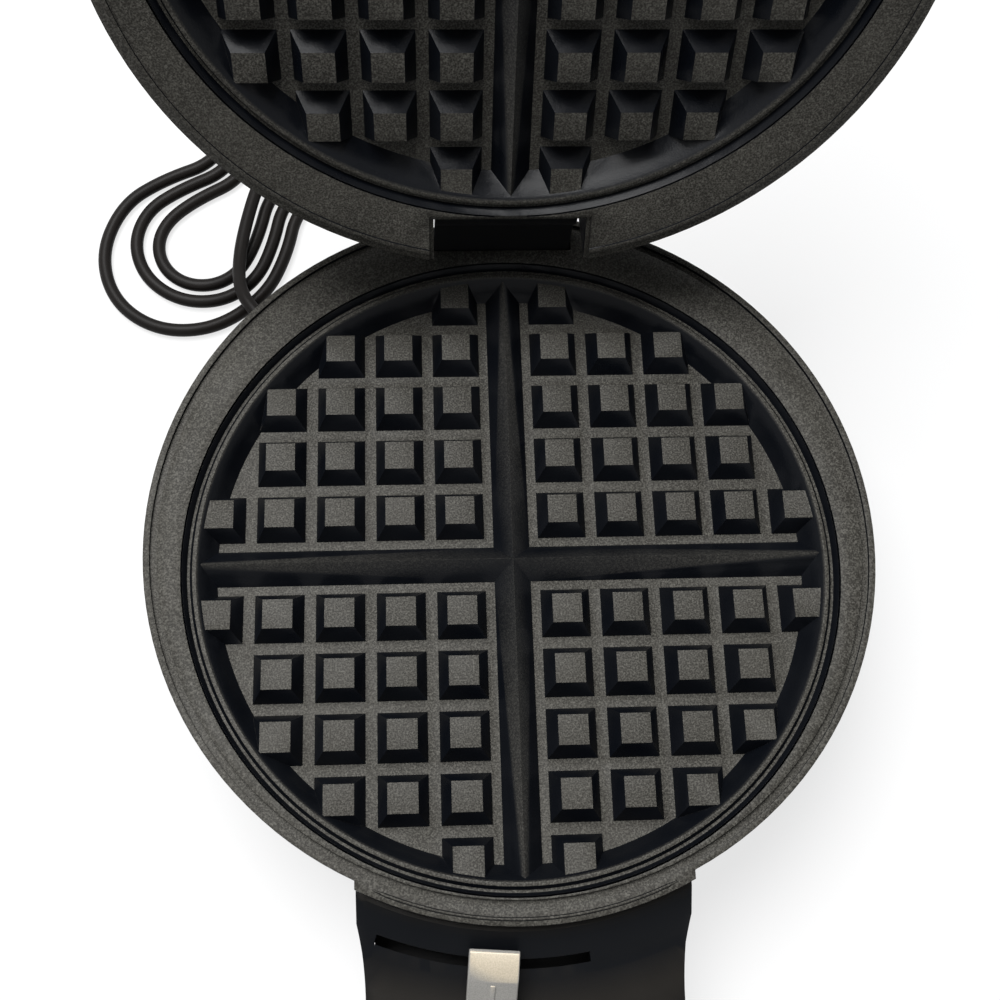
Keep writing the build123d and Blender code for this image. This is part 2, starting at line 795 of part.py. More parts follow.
def panel_outline(inset):
    """Side of the control panel: radius from the base's axis, and height from the rim."""
    top = panel_top - mating_z - inset
    edge = panel_edge_z - mating_z - inset
    front = panel_front_z - mating_z - inset
    bottom = panel_bottom - mating_z
    return [
        (80, bottom),
        (80, top),
        (panel_back_r, top),
        ((panel_back_r + panel_edge_r) / 2, (top + edge) / 2 + panel_bow),
        (panel_edge_r, edge),
        (panel_front, front),
        (panel_front + 20, front - 1),
        (panel_front + 20, bottom),
    ]


panel_foot = level(lower, mating_z - panel_bottom)
panel_height = panel_top - panel_bottom

# Space inside the control panel
with BuildPart() as panel_inside:
    turned(lower, panel_outline(panel_wall))
    inner_plan = grip_plan(panel_foot, panel_width, panel_waist, panel_wall)
    extrude(inner_plan, amount=panel_height, mode=Mode.INTERSECT)

# Control panel: the lower handle, with the steep curved face that holds the slider's slot
with BuildPart() as control_panel:
    turned(lower, panel_outline(0))
    outer_plan = grip_plan(panel_foot, panel_width, panel_waist, 0)
    extrude(outer_plan, amount=panel_height, mode=Mode.INTERSECT)
    add(panel_inside.part, mode=Mode.SUBTRACT)
    turned(lower, base_outline(0), rim_shift, mode=Mode.SUBTRACT)
    with BuildSketch(section(spun(lower, slot_from))):
        with Locations((slot_r, panel_edge_z - mating_z)):
            Rectangle(slot_width, panel_height)
    revolve(axis=upright(lower), revolution_arc=slot_to - slot_from, mode=Mode.SUBTRACT)
    with BuildSketch(level(lower, mating_z - panel_bottom - panel_cover)):
        with Locations(*[(x, -lamp_reach) for x in lamp_places]):
            Circle(lamp_r)
    extrude(amount=panel_height, mode=Mode.SUBTRACT)
finish(control_panel.part, "control_panel")

# Floor of the control panel
with BuildPart() as panel_cover_plate:
    cover_plan = grip_plan(panel_foot, panel_width, panel_waist, panel_wall + 0.2)
    extrude(cover_plan, amount=panel_cover)
    turned(lower, base_outline(0), rim_shift, mode=Mode.SUBTRACT)
finish(panel_cover_plate.part, "panel_floor")

# Signal lamps
with BuildPart() as signal_lamps:
    with BuildSketch(level(lower, mating_z - panel_front_z + 3)):
        with Locations(*[(x, -lamp_reach) for x in lamp_places]):
            Circle(lamp_r)
    extrude(amount=lamp_height)
    fillet(signal_lamps.edges().group_by(Axis.Z)[-1], 1.2)
finish(signal_lamps.part, "signal_lamps")

knob_radial = spun(lower, knob_angle)
bow_r = (panel_back_r + panel_edge_r) / 2
bow_z = (panel_top + panel_edge_z) / 2 + panel_bow

# Slider arm: turns on the thermostat's spindle and carries the knob through the slot
with BuildPart() as slider_arm:
    with BuildSketch(knob_radial.offset(arm_z - mating_z)):
        Circle(arm_hub_r)
        with Locations((slot_r / 2, 0)):
            Rectangle(slot_r + stem_width, arm_width)
        Circle(spindle_r + running_fit, mode=Mode.SUBTRACT)
    extrude(amount=arm_thickness)
    with BuildSketch(knob_radial.offset(arm_z - mating_z)):
        with Locations((slot_r, 0)):
            Rectangle(stem_width, stem_length)
    extrude(amount=stem_top - arm_z)
finish(slider_arm.part, "slider_arm")

# Slider knob: a paddle whose underside follows the panel
with BuildPart() as slider_knob:
    with BuildSketch(section(knob_radial)):
        with BuildLine():
            Polyline(
                (knob_back_r, panel_top - mating_z - 1.8),
                (knob_back_r, knob_top - mating_z),
                (knob_back_r + 0.8, knob_top - mating_z + 0.7),
                (knob_brow_r - 0.6, knob_top - mating_z - 1.2),
                (knob_brow_r, knob_top - mating_z - 1.7),
                (knob_front_r, panel_edge_z - mating_z + 0.8),
                (knob_front_r, panel_edge_z - mating_z - 1.1),
                (panel_edge_r + 0.4, panel_edge_z - mating_z + knob_gap),
                (bow_r + 0.2, bow_z - mating_z + knob_gap),
                close=True,
            )
        make_face()
    extrude(amount=knob_width / 2, both=True)
    with BuildSketch(knob_radial.offset(stem_top - mating_z)):
        with Locations((slot_r, 0)):
            Rectangle(stem_width, stem_length)
    extrude(amount=-12, mode=Mode.SUBTRACT)
finish(slider_knob.part, "slider_knob")

# Lid handle, which meets the lower handle when the lid is shut
with BuildPart() as lid_handle:
    handle_foot = level(upper, handle_depth + handle_thickness)
    extrude(grip_plan(handle_foot, handle_width, handle_waist, 0), amount=handle_thickness)
    handle_faces = lid_handle.faces().sort_by(upright(upper))
    chamfer(handle_faces[0].edges() + handle_faces[-1].edges(), 1.5)
    turned(upper, lid_outline(0), rim_shift, mode=Mode.SUBTRACT)
finish(lid_handle.part, "lid_handle")

# Terminal block, on the bottom cover behind the thermostat
with BuildPart() as terminal_block:
    with BuildSketch(level(lower, base_height - cover_thickness)):
        with Locations((terminal_x, terminal_y)):
            Rectangle(terminal_length, terminal_width)
    extrude(amount=terminal_height)
    chamfer(terminal_block.edges().group_by(Axis.Z)[-1], 1.0)
finish(terminal_block.part, "terminal_block")

# Strain relief: a ribbed sleeve through the casing's wall
with BuildPart() as strain_relief:
    with BuildSketch(Plane(cord_wall, x_dir=cord_dir, z_dir=(cord_dir.Y, -cord_dir.X, 0))):
        with BuildLine():
            Polyline(
                (-6, 0),
                (-6, relief_hole_r),
                (3.0, relief_hole_r),
                (3.0, relief_hole_r - 0.2),
                (5.0, relief_hole_r - 0.3),
                (5.6, relief_hole_r - 0.9),
                (7.6, relief_hole_r - 0.9),
                (8.2, relief_hole_r - 0.6),
                (10.2, relief_hole_r - 0.8),
                (10.8, relief_hole_r - 1.3),
                (12.8, relief_hole_r - 1.3),
                (13.4, relief_hole_r - 1.1),
                (relief_length, cord_d / 2 + 0.8),
                (relief_length, 0),
                close=True,
            )
        make_face()
    revolve(axis=Axis(tuple(cord_wall), tuple(cord_dir)))
finish(strain_relief.part, "strain_relief")


def bundle(u, v, z=cord_d / 2):
    """A point of the loops: u along them from their waist, v across them, z above the table."""
    turn = radians(bundle_angle)
    x = waist_x + u * cos(turn) + v * sin(turn)
    y = waist_y + u * sin(turn) - v * cos(turn)
    return (x, body_y + y, z)


def far_end(radius, first=-112, last=112):
    """The hidden end of a loop, behind the lid."""
    points = []
    for angle in range(first, last + 1, 32):
        a = radians(angle)
        points.append(bundle(far_u + radius * cos(a), radius * sin(a)))
    return points


def near_end(u, v, reach, spread):
    """The end of a loop that shows beside the lid."""
    points = []
    for angle in range(0, 181, 36):
        a = radians(angle)
        points.append(bundle(u - reach * sin(a), v + spread * cos(a)))
    return points


# The lead out of the casing and over the loops, with points chosen by hand
tip = cord_wall + cord_dir * relief_length
lead = [tuple(tip), tuple(tip + cord_dir * lead_straight)]
for x, y, z in (
    (-81.9, 103.6, 12.0),
    (-82.9, 112.0, 9.2),
    (-82.6, 121.0, 7.9),
    (-80.8, 132.0, 7.3),
    (-78.0, 144.0, 6.9),
    (-73.9, 155.5, 5.4),
):
    lead.append((x, body_y + y, z))
lead.append(bundle(24.0, -8.6, 3.0))

# Three loose loops, each outside the last, drawn in at the waist and fanned out at both ends
loops = []
far_edge = sin(radians(112))
for turn in range(3):
    radius = far_r + turn * far_step
    inner = waist_half + (turn - 1) * waist_step
    outer = waist_half + turn * waist_step
    if turn:
        loops.append(bundle(0, -inner))
        loops.append(bundle(far_neck[0], far_neck[1] - (inner + far_edge * radius) / 2))
    loops += far_end(radius)
    loops.append(bundle(far_neck[0], (outer + far_edge * radius) / 2 - far_neck[1]))
    loops.append(bundle(0, outer))
    u, v, reach, spread = near_loops[turn]
    loops.append(bundle(near_neck[0], (outer + v + spread) / 2 + near_neck[1]))
    loops += near_end(u, v, reach, spread)
    loops.append(bundle(back_neck[0], (v - spread - outer) / 2 - back_neck[1]))
outer = waist_half + 2 * waist_step
last_r = far_r + 3 * far_step
loops.append(bundle(0, -outer))
loops.append(bundle(far_neck[0], far_neck[1] - (outer + far_edge * last_r) / 2))
loops += far_end(last_r, last=-16)
for u, v, z in ((79.5, 4.0, 2.1), (78.0, 17.0, 2.1), (73.0, 30.0, 3.6), (66.5, 42.0, 6.5)):
    loops.append(bundle(u, v, z))
loops.append(bundle(60.5, 53.0, plug_thickness / 2))


def corner_radii(points):
    """The largest even arcs that the runs allow: 0.45 of the shorter run over tan of half the turn."""
    radii = []
    for before, here, after in zip(points, points[1:], points[2:]):
        first = Vector(*here) - Vector(*before)
        second = Vector(*after) - Vector(*here)
        turn = radians(first.get_angle(second))
        radii.append(0.45 * min(first.length, second.length) / tan(turn / 2))
    return radii


def cord_tube(points, name):
    """A round tube along straight runs joined by arcs."""
    radii = corner_radii(points)
    with BuildPart() as tube:
        with BuildLine():
            path = FilletPolyline(*points, radius=radii)
        with BuildSketch(Plane(path @ 0, z_dir=path % 0)):
            Circle(cord_d / 2)
        sweep(path=path)
    length = path.length
    ratio = tube.part.volume / (pi * (cord_d / 2) ** 2 * length)
    print(name, "length", round(length, 1), "volume ratio", round(ratio, 4))
    print(name, "radii", [round(r, 1) for r in radii])
    finish(tube.part, name)
    return path


middle = (Vector(*lead[-1]) + Vector(*loops[0])) / 2
lead_line = cord_tube(lead + [tuple(middle)], "cord_lead")
loop_line = cord_tube([tuple(middle)] + loops, "cord_loops")



def places_along(path):
    """Places about a millimetre apart on a path, each with its distance from the start."""
    places = []
    start = 0.0
    for edge in path.edges():
        count = max(2, round(edge.length))
        for step in range(count):
            share = step / count
            places.append((start + edge.length * share, tuple(edge @ share)))
        start += edge.length
    return places


loop_places = places_along(loop_line)
least = 1000.0
for i, (here, one) in enumerate(loop_places):
    for there, other in loop_places[i + 1:]:
        if there - here > loop_apart:
            least = min(least, dist(one, other))
print("least gap of the loops to themselves", round(least - cord_d, 2))
far_places = [place for along, place in loop_places if along > loop_apart]
least = min(dist(one, other) for along, one in places_along(lead_line) for other in far_places)
print("least gap of the lead to the loops", round(least - cord_d, 2))

plug_out = loop_line % 1
plug_end = loop_line @ 1
plug_plane = Plane(plug_end, x_dir=(-plug_out.Y, plug_out.X, 0), z_dir=plug_out)

# Moulded plug with a tapered neck
with BuildPart() as plug:
    with BuildSketch(plug_plane):
        Circle(cord_d / 2 + 0.9)
    with BuildSketch(plug_plane.offset(plug_neck)):
        RectangleRounded(plug_width - 4, plug_thickness - 2, 4)
    loft()
    with BuildSketch(plug_plane.offset(plug_neck)):
        RectangleRounded(plug_width, plug_thickness, 3.5)
    extrude(amount=plug_length - plug_neck)
    chamfer(plug.faces().sort_by(Axis(tuple(plug_end), tuple(plug_out)))[-1].edges(), 0.8)
finish(plug.part, "plug")

# Flat blades of the plug
with BuildPart() as plug_blades:
    with BuildSketch(plug_plane.offset(plug_length)):
        with Locations((-blade_spacing / 2, 0), (blade_spacing / 2, 0)):
            Rectangle(blade_thickness, blade_width)
    extrude(amount=blade_length)
finish(plug_blades.part, "plug_blades")
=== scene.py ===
# %% [markdown]
# A round waffle maker, standing open on a table. The solid model holds every piece at its real
# size, so this lesson never moves or resizes one. It gives each piece its finish, rounds the edges
# that casting and moulding would round, and lays the mains cord down as one flexible line.

# %% Load the solid pieces
import json
import math

import bmesh
import bpy
from mathutils import Matrix, Vector

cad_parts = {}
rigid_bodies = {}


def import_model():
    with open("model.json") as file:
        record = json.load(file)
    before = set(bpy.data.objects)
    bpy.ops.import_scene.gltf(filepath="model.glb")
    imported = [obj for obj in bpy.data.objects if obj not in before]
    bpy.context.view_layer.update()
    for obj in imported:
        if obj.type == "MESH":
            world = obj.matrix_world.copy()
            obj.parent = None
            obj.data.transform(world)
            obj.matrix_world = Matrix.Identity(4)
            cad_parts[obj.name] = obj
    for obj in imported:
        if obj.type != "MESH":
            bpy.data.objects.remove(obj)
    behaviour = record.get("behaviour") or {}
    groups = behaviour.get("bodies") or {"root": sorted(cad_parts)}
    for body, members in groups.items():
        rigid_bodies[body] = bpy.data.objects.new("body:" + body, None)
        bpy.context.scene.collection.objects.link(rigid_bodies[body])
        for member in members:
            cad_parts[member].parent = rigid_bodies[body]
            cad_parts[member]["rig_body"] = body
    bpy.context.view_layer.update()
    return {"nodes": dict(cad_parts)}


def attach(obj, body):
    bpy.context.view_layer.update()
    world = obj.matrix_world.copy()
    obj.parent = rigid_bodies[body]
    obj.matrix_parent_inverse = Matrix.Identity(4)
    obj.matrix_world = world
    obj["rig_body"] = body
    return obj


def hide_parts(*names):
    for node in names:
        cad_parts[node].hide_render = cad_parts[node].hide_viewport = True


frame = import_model()
nodes = frame["nodes"]
mm = 0.001
print("pieces loaded:", len(nodes))

# %% [markdown]
# The photograph looks down into the open plates from just in front of the handle. Its viewpoint was
# worked out from the regular grid of pyramids, whose spacing is known, so the camera is written as
# a place, three directions and a lens. A lens in millimetres on a 36 mm sensor is the plain way to
# say a field of view, and it holds for any size of picture.

# %% Camera
camera_place = Vector((-0.0228, -0.1334, 0.4135))
camera_right = Vector((0.99853, -0.03328, 0.04269))
camera_up = Vector((0.01735, 0.94385, 0.32992))
camera_back = Vector((-0.05128, -0.32869, 0.94304))
lens = 50.12

camera_data = bpy.data.cameras.new("camera")
camera_data.lens = lens
camera_data.sensor_width = 36.0
camera_data.clip_start = 0.01
camera = bpy.data.objects.new("camera", camera_data)
turned = Matrix((camera_right, camera_up, camera_back)).transposed().to_4x4()
camera.matrix_world = Matrix.Translation(camera_place) @ turned
bpy.context.scene.collection.objects.link(camera)
bpy.context.scene.camera = camera
print("camera height", round(camera_place.z, 3), "m, lens", lens, "mm")

# %% [markdown]
# The mains cord is one length of limp rubber flex. It leaves the casing through its strain relief,
# drops over a bundle of three loose loops and runs on as the first of them. The loops are each a
# little larger than the last, drawn in at the waist, because that is how a cord lies after it has
# been folded up in a cupboard. One NURBS curve of order 3 passes near its control points without
# corners, which is what a springy flex does, so the points are few and the curve does the rest.

# %% Measures of the cord
cord_d = 4.2
body_y = -23.6
rim_shift = 6.0
exit_angle = math.radians(131.0)
exit_z = 14.0
wall_r = 93.6
relief_length = 20.0
lead_straight = 6.5
waist_x = -79.0
waist_y = 147.0
bundle_turn = math.radians(54.4)
far_u = 45.0
far_r = 17.0
far_step = 5.5
far_half_angle = 112
far_angle_step = 32
far_edge = math.sin(math.radians(far_half_angle))
near_angle_step = 36
waist_half = 5.6
waist_step = 5.6
near_loops = [(-27.7, -0.4, 15.6, 15.6), (-28.3, -1.2, 21.3, 22.7), (-30.9, -2.3, 31.8, 29.6)]
near_neck = (-14.6, 1.7)
back_neck = (-15.7, 2.4)
far_neck = (15.1, 1.3)
plug_rest_z = 6.5
lead_fall = [
    (-81.9, 103.6, 12.0),
    (-82.9, 112.0, 9.2),
    (-82.6, 121.0, 7.9),
    (-80.8, 132.0, 7.3),
    (-78.0, 144.0, 6.9),
    (-73.9, 155.5, 5.4),
]
lead_landing = (24.0, -8.6, 3.0)
last_loop_stop = -16
plug_run = [(79.5, 4.0, 2.1), (78.0, 17.0, 2.1), (73.0, 30.0, 3.6), (66.5, 42.0, plug_rest_z)]
plug_end = (60.5, 53.0, plug_rest_z)


def bundle(u, v, z=cord_d / 2):
    """A point of the loops: u along them from their waist, v across them, z above the table."""
    x = waist_x + u * math.cos(bundle_turn) + v * math.sin(bundle_turn)
    y = waist_y + u * math.sin(bundle_turn) - v * math.cos(bundle_turn)
    return (x, body_y + y, z)


def far_end(radius, last=far_half_angle):
    """The hidden end of a loop, behind the lid."""
    points = []
    for angle in range(-far_half_angle, last + 1, far_angle_step):
        a = math.radians(angle)
        points.append(bundle(far_u + radius * math.cos(a), radius * math.sin(a)))
    return points


def near_end(u, v, reach, spread):
    """The end of a loop that shows beside the lid."""
    points = []
    for angle in range(0, 181, near_angle_step):
        a = math.radians(angle)
        points.append(bundle(u - reach * math.sin(a), v + spread * math.cos(a)))
    return points


# %% Points of the lead and of the loops
cord_dir = Vector((math.cos(exit_angle), math.sin(exit_angle), 0))
tip = Vector((0, body_y + rim_shift, exit_z)) + cord_dir * (wall_r + relief_length)
route = [tuple(tip), tuple(tip + cord_dir * lead_straight)]
for x, y, z in lead_fall:
    route.append((x, body_y + y, z))
route.append(bundle(*lead_landing))
for turn in range(3):
    radius = far_r + turn * far_step
    inner = waist_half + (turn - 1) * waist_step
    outer = waist_half + turn * waist_step
    if turn:
        route.append(bundle(0, -inner))
        route.append(bundle(far_neck[0], far_neck[1] - (inner + far_edge * radius) / 2))
    route += far_end(radius)
    route.append(bundle(far_neck[0], (outer + far_edge * radius) / 2 - far_neck[1]))
    route.append(bundle(0, outer))
    u, v, reach, spread = near_loops[turn]
    route.append(bundle(near_neck[0], (outer + v + spread) / 2 + near_neck[1]))
    route += near_end(u, v, reach, spread)
    route.append(bundle(back_neck[0], (v - spread - outer) / 2 - back_neck[1]))
outer = waist_half + 2 * waist_step
last_r = far_r + 3 * far_step
route.append(bundle(0, -outer))
route.append(bundle(far_neck[0], far_neck[1] - (outer + far_edge * last_r) / 2))
route += far_end(last_r, last=last_loop_stop)
for u, v, z in plug_run:
    route.append(bundle(u, v, z))
route.append(bundle(*plug_end))
print("the cord's route has", len(route), "points")

# %% The cord's curve
curve = bpy.data.curves.new("mains_cord", "CURVE")
curve.dimensions = "3D"
curve.bevel_depth = cord_d / 2 * mm
curve.bevel_resolution = 6
curve.resolution_u = 10
curve.use_fill_caps = True
line = curve.splines.new("NURBS")
line.points.add(len(route) - 1)
for point, place in zip(line.points, route):
    point.co = (place[0] * mm, place[1] * mm, place[2] * mm, 1.0)
line.order_u = 3
line.use_endpoint_u = True
cord = bpy.data.objects.new("mains_cord", curve)
bpy.context.scene.collection.objects.link(cord)
print("cord as measured along its curve:", round(line.calc_length(), 3), "m")

# %% [markdown]
# The studio is a pale table under two large soft lamps. The brighter one hangs behind the hinge and
# to the left, so the tops of the pyramids catch it and the left side of the rim is the lighter one,
# while the faces towards the camera stay dark, as they are in the photograph. Camera rays see a
# nearly white table, and it still takes the shadow.

# %% Studio helpers
scene = bpy.context.scene
scene.view_settings.view_transform = "Standard"


def seen_rays(tree):
    """One for rays from the camera and for those that gloss or glass sends on, else zero."""
    path = tree.nodes.new("ShaderNodeLightPath")
    total = path.outputs["Is Camera Ray"]
    for name in ("Is Glossy Ray", "Is Transmission Ray"):
        highest = tree.nodes.new("ShaderNodeMath")
        highest.operation = "MAXIMUM"
        tree.links.new(total, highest.inputs[0])
        tree.links.new(path.outputs[name], highest.inputs[1])
        total = highest.outputs[0]
    return total


def soft_lamp(name, place, aim, size, power):
    """A round lamp at a place in metres, turned towards the point that it is aimed at."""
    lamp_data = bpy.data.lights.new(name, "AREA")
    lamp_data.shape = "DISK"
    lamp_data.size = size
    lamp_data.energy = power
    lamp = bpy.data.objects.new(name, lamp_data)
    lamp.location = place
    lamp.rotation_euler = (Vector(place) - Vector(aim)).to_track_quat("Z", "Y").to_euler()
    scene.collection.objects.link(lamp)


# %% Table, backdrop light and lamps
table_size = 6.0
table_grey = (0.82, 0.82, 0.82, 1)
table_seen = 0.75
sky_tint = (0.78, 0.87, 1.0, 1)
world_fill = 0.09
white_light = (1, 1, 1, 1)
lamps_aim = (0, 0, 0.05)

floor_mesh = bpy.data.meshes.new("table")
half = table_size / 2
corners = [(-half, -half, 0), (half, -half, 0), (half, half, 0), (-half, half, 0)]
floor_mesh.from_pydata(corners, [], [(0, 1, 2, 3)])
floor = bpy.data.objects.new("table", floor_mesh)
scene.collection.objects.link(floor)
table_finish = bpy.data.materials.new("pale_table")
table_finish.use_nodes = True
tree = table_finish.node_tree
tree.nodes.clear()
paint = tree.nodes.new("ShaderNodeBsdfDiffuse")
paint.inputs["Color"].default_value = table_grey
glow = tree.nodes.new("ShaderNodeEmission")
glow.inputs["Color"].default_value = white_light
share = tree.nodes.new("ShaderNodeMath")
share.operation = "MULTIPLY"
share.inputs[1].default_value = table_seen
tree.links.new(seen_rays(tree), share.inputs[0])
mix = tree.nodes.new("ShaderNodeMixShader")
tree.links.new(share.outputs[0], mix.inputs[0])
tree.links.new(paint.outputs[0], mix.inputs[1])
tree.links.new(glow.outputs[0], mix.inputs[2])
out = tree.nodes.new("ShaderNodeOutputMaterial")
tree.links.new(mix.outputs[0], out.inputs["Surface"])
floor_mesh.materials.append(table_finish)

world = bpy.data.worlds.new("studio")
scene.world = world
world.use_nodes = True
tree = world.node_tree
tree.nodes.clear()
fill = tree.nodes.new("ShaderNodeBackground")
fill.inputs["Color"].default_value = sky_tint
fill.inputs["Strength"].default_value = world_fill
white = tree.nodes.new("ShaderNodeBackground")
white.inputs["Color"].default_value = white_light
white.inputs["Strength"].default_value = 1.0
mix = tree.nodes.new("ShaderNodeMixShader")
tree.links.new(seen_rays(tree), mix.inputs[0])
tree.links.new(fill.outputs[0], mix.inputs[1])
tree.links.new(white.outputs[0], mix.inputs[2])
out = tree.nodes.new("ShaderNodeOutputWorld")
tree.links.new(mix.outputs[0], out.inputs["Surface"])

soft_lamp("window", place=(-0.27, 0.36, 1.22), aim=lamps_aim, size=0.9, power=28)
soft_lamp("ceiling", place=(-0.6, -0.2, 1.3), aim=lamps_aim, size=1.0, power=5)
print("lamps and table placed")

# %% [markdown]
# Every finish starts the same way: a Principled shader, and Object coordinates in metres, so that a
# grain of half a millimetre is the same size on every piece. Small helpers add a noise, a blend that
# turns it into colours or values, and a bump, and they keep each finish to a few lines.

# %% Helpers for finishes


def start_finish(name, metallic, roughness, specular=0.5):
    """A new material with its Principled shader and its Object coordinates."""
    material = bpy.data.materials.new(name)
    material.use_nodes = True
    tree = material.node_tree
    tree.nodes.clear()
    shader = tree.nodes.new("ShaderNodeBsdfPrincipled")
    shader.inputs["Metallic"].default_value = metallic
    shader.inputs["Roughness"].default_value = roughness
    shader.inputs["Specular IOR Level"].default_value = specular
    out = tree.nodes.new("ShaderNodeOutputMaterial")
    tree.links.new(shader.outputs[0], out.inputs["Surface"])
    coords = tree.nodes.new("ShaderNodeTexCoord").outputs["Object"]
    return material, tree, shader, coords


def noise(tree, coords, scale, detail=2.0, stretch=None):
    """Noise in spots of about 1/scale metres, or drawn out along an axis by stretch."""
    if stretch:
        mapping = tree.nodes.new("ShaderNodeMapping")
        mapping.inputs["Scale"].default_value = stretch
        tree.links.new(coords, mapping.inputs["Vector"])
        coords = mapping.outputs[0]
    texture = tree.nodes.new("ShaderNodeTexNoise")
    texture.inputs["Scale"].default_value = scale
    texture.inputs["Detail"].default_value = detail
    tree.links.new(coords, texture.inputs["Vector"])
    return texture.outputs["Fac"]


def between(tree, value, low, high, start=0.3, end=0.7):
    """Goes from low to high, two colours or two numbers, while a value climbs from start to end."""
    node = tree.nodes.new("ShaderNodeValToRGB")
    stops = node.color_ramp.elements
    for stop, position, level in ((stops[0], start, low), (stops[1], end, high)):
        colour = level if isinstance(level, tuple) else (level, level, level)
        stop.position = position
        stop.color = (*colour, 1.0)
    tree.links.new(value, node.inputs[0])
    return node.outputs[0]


def layered(tree, below, above, factor):
    """Lays one colour over another where factor is high."""
    node = tree.nodes.new("ShaderNodeMix")
    node.data_type = "RGBA"
    tree.links.new(factor, node.inputs["Factor"])
    tree.links.new(below, node.inputs["A"])
    tree.links.new(above, node.inputs["B"])
    return node.outputs["Result"]


def facing(tree, axis):
    """How far the surface faces along an axis, from -1 to 1, in the piece's own coordinates."""
    coords = tree.nodes.new("ShaderNodeTexCoord")
    dot = tree.nodes.new("ShaderNodeVectorMath")
    dot.operation = "DOT_PRODUCT"
    dot.inputs[1].default_value = axis
    tree.links.new(coords.outputs["Normal"], dot.inputs[0])
    return dot.outputs["Value"]


def bumped(tree, shader, height, depth, below=None):
    """A bump of a real depth in metres, laid over another if one is given."""
    node = tree.nodes.new("ShaderNodeBump")
    node.inputs["Strength"].default_value = 1.0
    node.inputs["Distance"].default_value = depth
    tree.links.new(height, node.inputs["Height"])
    if below:
        tree.links.new(below, node.inputs["Normal"])
    tree.links.new(node.outputs[0], shader.inputs["Normal"])
    return node.outputs[0]


print("helpers for finishes defined")

# %% [markdown]
# The waffle plates are cast aluminium with a sprayed non-stick coating. The flats take a grainy grey
# film with pale flecks: the grain and flecks are the coating's own, and the lighter grey is painted
# light from above. The steep sides of the pyramids, the ridges and the cavity are coloured nearly
# black with a faint blue, which is painted shade and a painted bluish reflection. So the finish asks
# each place how far it faces out of the plate: the dot product of its own normal with the plate's
# axis. Wide soft patches of roughness are what years of batter and oil leave.

# %% Non-stick coating
# Flat colours: the coating's own grain and flecks, kept lighter than the steep faces as painted light.
film_dark = (0.018, 0.0168, 0.0142)
film_light = (0.029, 0.0272, 0.0232)
fleck_dark = (0.060, 0.0570, 0.0490)
fleck_light = (0.108, 0.1040, 0.0910)
# Painted shade and a painted bluish reflection: the colours of the steep faces.
painted_shade_steep_dark = (0.0020, 0.0026, 0.0040)
painted_shade_steep_light = (0.0042, 0.0048, 0.0062)
spray_scale = 2200
fleck_scale = 900
lump_scale = 420
stain_scale = 45
film_scale = 26
fleck_cover = 0.85
steep_below = 0.72
flat_above = 0.94
lump_depth = 0.00005
spray_depth = 0.00004


def nonstick(name, axis):
    """The coating of one plate, whose flats face along the axis."""
    material, tree, shader, coords = start_finish(name, metallic=0.0, roughness=0.42)
    grain = noise(tree, coords, spray_scale)
    stain = noise(tree, coords, stain_scale, detail=4)
    film = between(tree, noise(tree, coords, film_scale, detail=3), film_dark, film_light, start=0.35)
    fleck = between(tree, noise(tree, coords, fleck_scale), fleck_dark, fleck_light)
    amount = between(tree, grain, 0.0, fleck_cover, start=0.40, end=0.66)
    grain_and_lit_flat = layered(tree, film, fleck, amount)
    steep_painted_shade = between(tree, stain, painted_shade_steep_dark, painted_shade_steep_light)
    # Painted light: the flats are coloured lighter and the steep faces darker, by how far each place
    # faces out of the plate.
    painted_light_and_gloss_flatness = between(tree, facing(tree, axis), 0.0, 1.0, start=steep_below, end=flat_above)
    tree.links.new(layered(tree, steep_painted_shade, grain_and_lit_flat, painted_light_and_gloss_flatness), shader.inputs["Base Color"])
    smooth = between(tree, stain, 0.26, 0.36)
    rough = between(tree, stain, 0.42, 0.56)
    tree.links.new(layered(tree, smooth, rough, painted_light_and_gloss_flatness), shader.inputs["Roughness"])
    shader.inputs["Specular IOR Level"].default_value = 0.10
    lumps = bumped(tree, shader, noise(tree, coords, lump_scale), lump_depth)
    bumped(tree, shader, grain, spray_depth, lumps)
    return material


lid_open = math.radians(112.3)
lower_axis = (0, 0, 1)
upper_axis = (0, -math.sin(lid_open), -math.cos(lid_open))
lower_coating = nonstick("nonstick_lower", lower_axis)
upper_coating = nonstick("nonstick_upper", upper_axis)
print("coatings ready")

# %% [markdown]
# The casings, the panel and both handles are moulded black plastic. A mould is spark-eroded, which
# leaves a fine matt grain, and handling polishes it a little in patches. The panel's is the
# smoother of the two.

# %% Moulded plastics


def moulded(name, dark, light, smooth, rough, grain, depth, specular=0.12):
    """Plastic, rubber or ceramic from a mould, with patches polished from rough to smooth."""
    material, tree, shader, coords = start_finish(name, 0.0, rough, specular)
    patch = noise(tree, coords, 30, detail=4)
    tree.links.new(between(tree, patch, dark, light), shader.inputs["Base Color"])
    tree.links.new(between(tree, patch, rough, smooth), shader.inputs["Roughness"])
    bumped(tree, shader, noise(tree, coords, grain, detail=3), depth)
    return material


